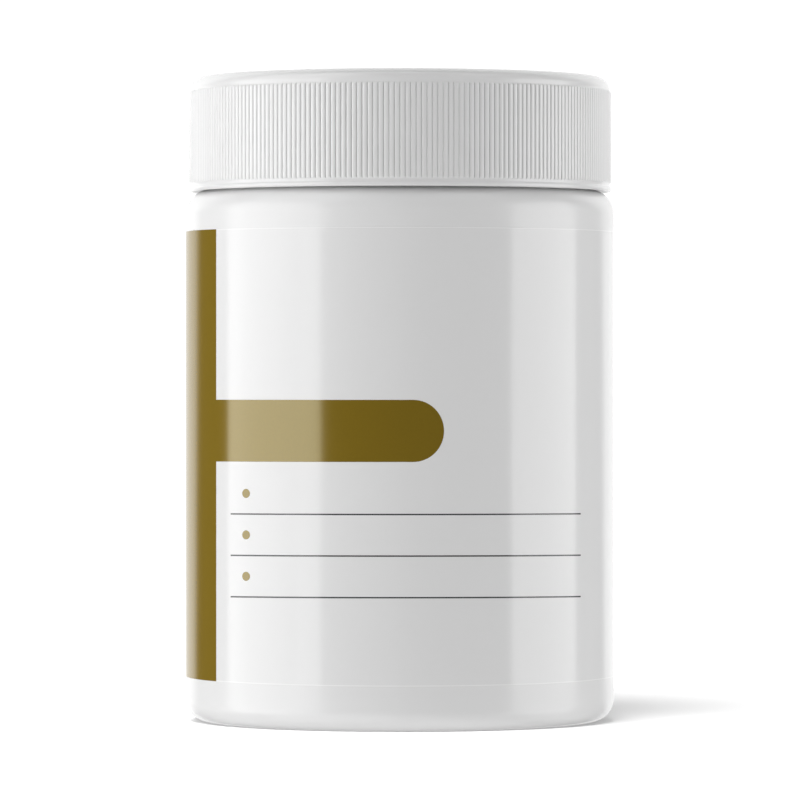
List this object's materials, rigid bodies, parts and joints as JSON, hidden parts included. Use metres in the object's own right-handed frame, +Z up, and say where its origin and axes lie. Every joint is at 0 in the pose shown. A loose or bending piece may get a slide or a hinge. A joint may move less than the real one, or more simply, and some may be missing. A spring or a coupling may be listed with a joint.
{
  "type": "screw-lid jar of mushroom powder",
  "caption": "White straight-sided plastic jar with a ribbed screw lid and a blank wrap label with a gold band, holding mushroom powder; the lid unscrews and rises on its thread.",
  "frame": {"origin": "middle of the base, on the surface that the jar stands on", "axes": "+Z up along the jar's axis and the screw axis, -Y towards the front of the label, +X to the right"},
  "size_m": [0.08, 0.08, 0.12],
  "materials": {
    "jar_plastic": "satin",
    "lid_plastic": "satin",
    "label_film": "satin",
    "label_gold": "satin",
    "label_grey": "satin",
    "liner_foam": "matte",
    "powder": "matte"
  },
  "bodies": {
    "jar": {"jar_body": "jar_plastic", "label": "label_film", "mushroom_powder": "powder"},
    "wad": {"lid_liner": "liner_foam"},
    "cap": {"lid": "lid_plastic"}
  },
  "joints": [
    {"name": "lid_rise", "type": "slide", "parent": "jar", "child": "wad", "axis": [0, 0, 1], "range_m": [0, 0.00625]},
    {"name": "lid_turn", "type": "hinge", "parent": "wad", "child": "cap", "pos_m": [0, 0, 0.1166], "axis": [0, 0, 1], "range_deg": [0, 450]}
  ],
  "couplings": [
    {"joint": "lid_rise", "follows": "lid_turn", "m_per_rad": 0.00079577}
  ]
}
